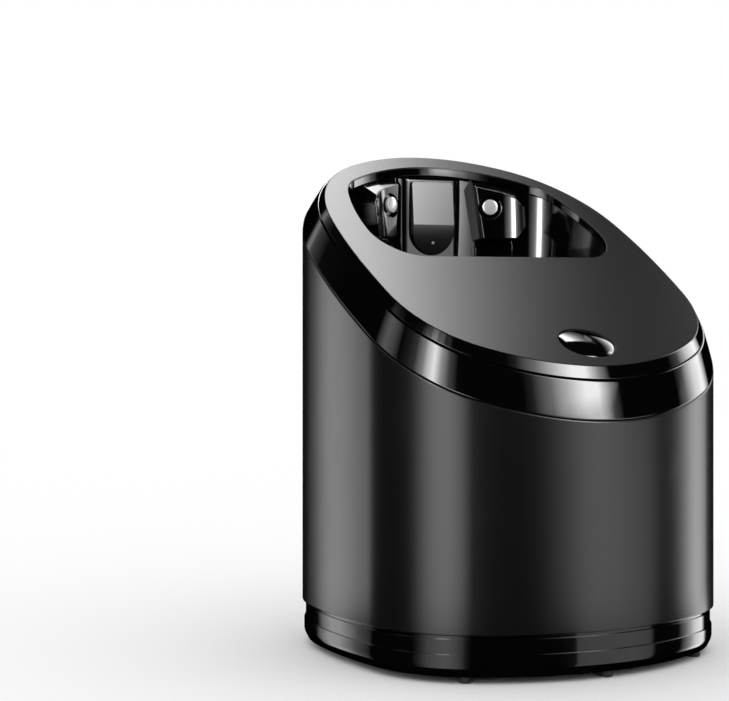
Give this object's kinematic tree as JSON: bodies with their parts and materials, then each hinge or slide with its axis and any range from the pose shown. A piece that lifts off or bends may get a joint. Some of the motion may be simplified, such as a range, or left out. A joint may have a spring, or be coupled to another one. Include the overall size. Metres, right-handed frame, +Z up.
{
  "type": "shaver cleaning station",
  "caption": "Upright cleaning and drying station for an electric shaver, with a slanted top, a deep well with contact pins, a start button and a fluid cartridge under a lifting housing.",
  "frame": {"origin": "middle of the footprint, on the ground under the feet", "axes": "+Z up, -Y towards the start button and the low end of the top, +X to the right seen from the front"},
  "size_m": [0.1256, 0.125, 0.1626],
  "materials": {
    "satin_dark": "satin dark grey, very fine grain",
    "satin_top": "satin dark grey",
    "gloss_black": "high gloss black",
    "button_black": "gloss black",
    "foot_rubber": "matt rubber",
    "steel": "bright steel",
    "contact_chrome": "polished plating",
    "plate_grey": "satin grey, darker below the crease",
    "sensor_lens": "clear light pipe",
    "cartridge_plastic": "milky moulded plastic",
    "lid_blue": "moulded plastic",
    "white_plastic": "moulded plastic",
    "inner_grey": "moulded plastic",
    "circuit_green": "solder mask"
  },
  "bodies": {
    "base": {"base_tray": "gloss_black", "feet": "foot_rubber", "base_screws": "steel", "cartridge_tub": "cartridge_plastic", "cartridge_lid": "lid_blue", "cartridge_filter": "white_plastic", "guide_rods": "steel", "lift_springs": "steel", "catch_posts": "inner_grey"},
    "housing": {"housing_shell": "satin_dark", "trim_ring": "gloss_black", "top_cover": "satin_top", "well_collar": "gloss_black", "cradle": "gloss_black", "tower_plate": "plate_grey", "sensor_dot": "sensor_lens", "wash_dish": "gloss_black", "chassis": "inner_grey", "chassis_screws": "steel", "contact_board": "circuit_green", "button_bezel": "gloss_black", "start_switch": "inner_grey", "main_board": "circuit_green", "board_parts": "inner_grey", "board_screws": "steel", "pump_body": "inner_grey", "pump_cover": "inner_grey", "pump_motor": "steel", "suction_tube": "white_plastic", "delivery_tube": "white_plastic", "fan_scroll": "inner_grey", "fan_motor": "steel", "air_duct": "inner_grey", "latch_spring": "steel", "power_inlet": "gloss_black", "inlet_pins": "contact_chrome", "rear_bracket": "inner_grey"},
    "start_button": {"start_button": "button_black"},
    "contact_pin_left": {"contact_pin_left": "contact_chrome"},
    "contact_pin_right": {"contact_pin_right": "contact_chrome"},
    "lift_button": {"lift_button": "button_black", "latch_bar": "inner_grey"},
    "pump_rotor": {"pump_rotor": "white_plastic"},
    "fan_rotor": {"fan_rotor": "inner_grey"}
  },
  "joints": [
    {"name": "housing_lift", "type": "slide", "parent": "base", "child": "housing", "axis": [0, 0, 1], "range_m": [0, 0.048], "deforming": ["lift_springs"]},
    {"name": "start_button_press", "type": "slide", "parent": "housing", "child": "start_button", "axis": [0, 0.5255, -0.8508], "range_m": [0, 0.0009], "stiffness_N_per_m": 300, "springref_m": -0.0005},
    {"name": "contact_pin_left_press", "type": "slide", "parent": "housing", "child": "contact_pin_left", "axis": [-0.3907, 0.9205, 0], "range_m": [0, 0.001], "stiffness_N_per_m": 200, "springref_m": -0.0005},
    {"name": "contact_pin_right_press", "type": "slide", "parent": "housing", "child": "contact_pin_right", "axis": [0.3907, 0.9205, 0], "range_m": [0, 0.001], "stiffness_N_per_m": 200, "springref_m": -0.0005},
    {"name": "lift_button_press", "type": "slide", "parent": "housing", "child": "lift_button", "axis": [0, -1, 0], "range_m": [0, 0.0025], "stiffness_N_per_m": 300, "springref_m": -0.0008, "deforming": ["latch_spring"]},
    {"name": "pump_spin", "type": "hinge", "parent": "housing", "child": "pump_rotor", "pos_m": [-0.02601, -0.02799, 0.065], "axis": [0, 0, 1], "continuous": true},
    {"name": "fan_spin", "type": "hinge", "parent": "housing", "child": "fan_rotor", "pos_m": [0.02601, -0.02799, 0.07], "axis": [0, 0, 1], "continuous": true}
  ]
}
